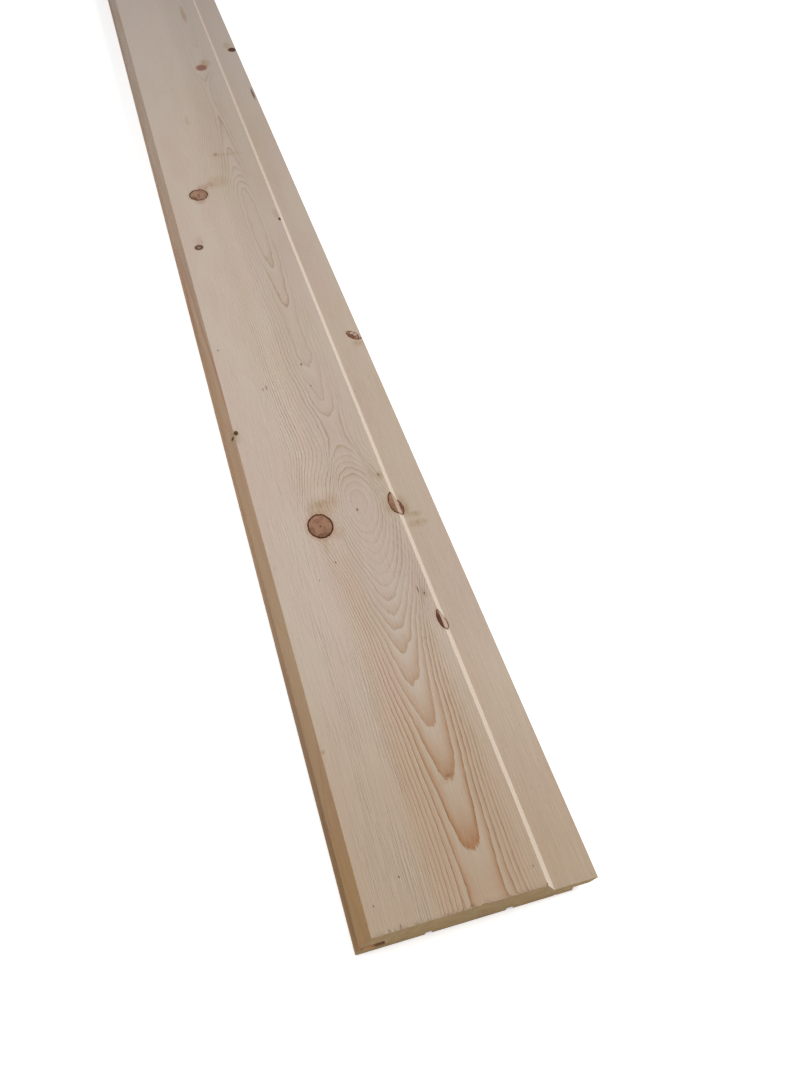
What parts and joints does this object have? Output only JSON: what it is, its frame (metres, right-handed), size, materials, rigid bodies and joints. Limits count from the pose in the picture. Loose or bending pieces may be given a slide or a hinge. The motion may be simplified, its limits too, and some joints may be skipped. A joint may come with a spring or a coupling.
{
  "type": "chamfered profile board",
  "caption": "Long planed softwood cladding board with a tongue and a groove along its edges, a steep chamfer on the groove side and a stepped shadow-gap flat on the tongue side.",
  "frame": {"origin": "on the back face, at the middle of the board's overall width and of its length", "axes": "+X across the board from the groove side to the tongue side, +Y along its length, +Z from the back up to the planed face"},
  "size_m": [0.146, 2.4, 0.0195],
  "materials": {
    "pine": "planed, unfinished knotty pine"
  },
  "bodies": {
    "root": {"profile_board": "pine"}
  },
  "joints": []
}
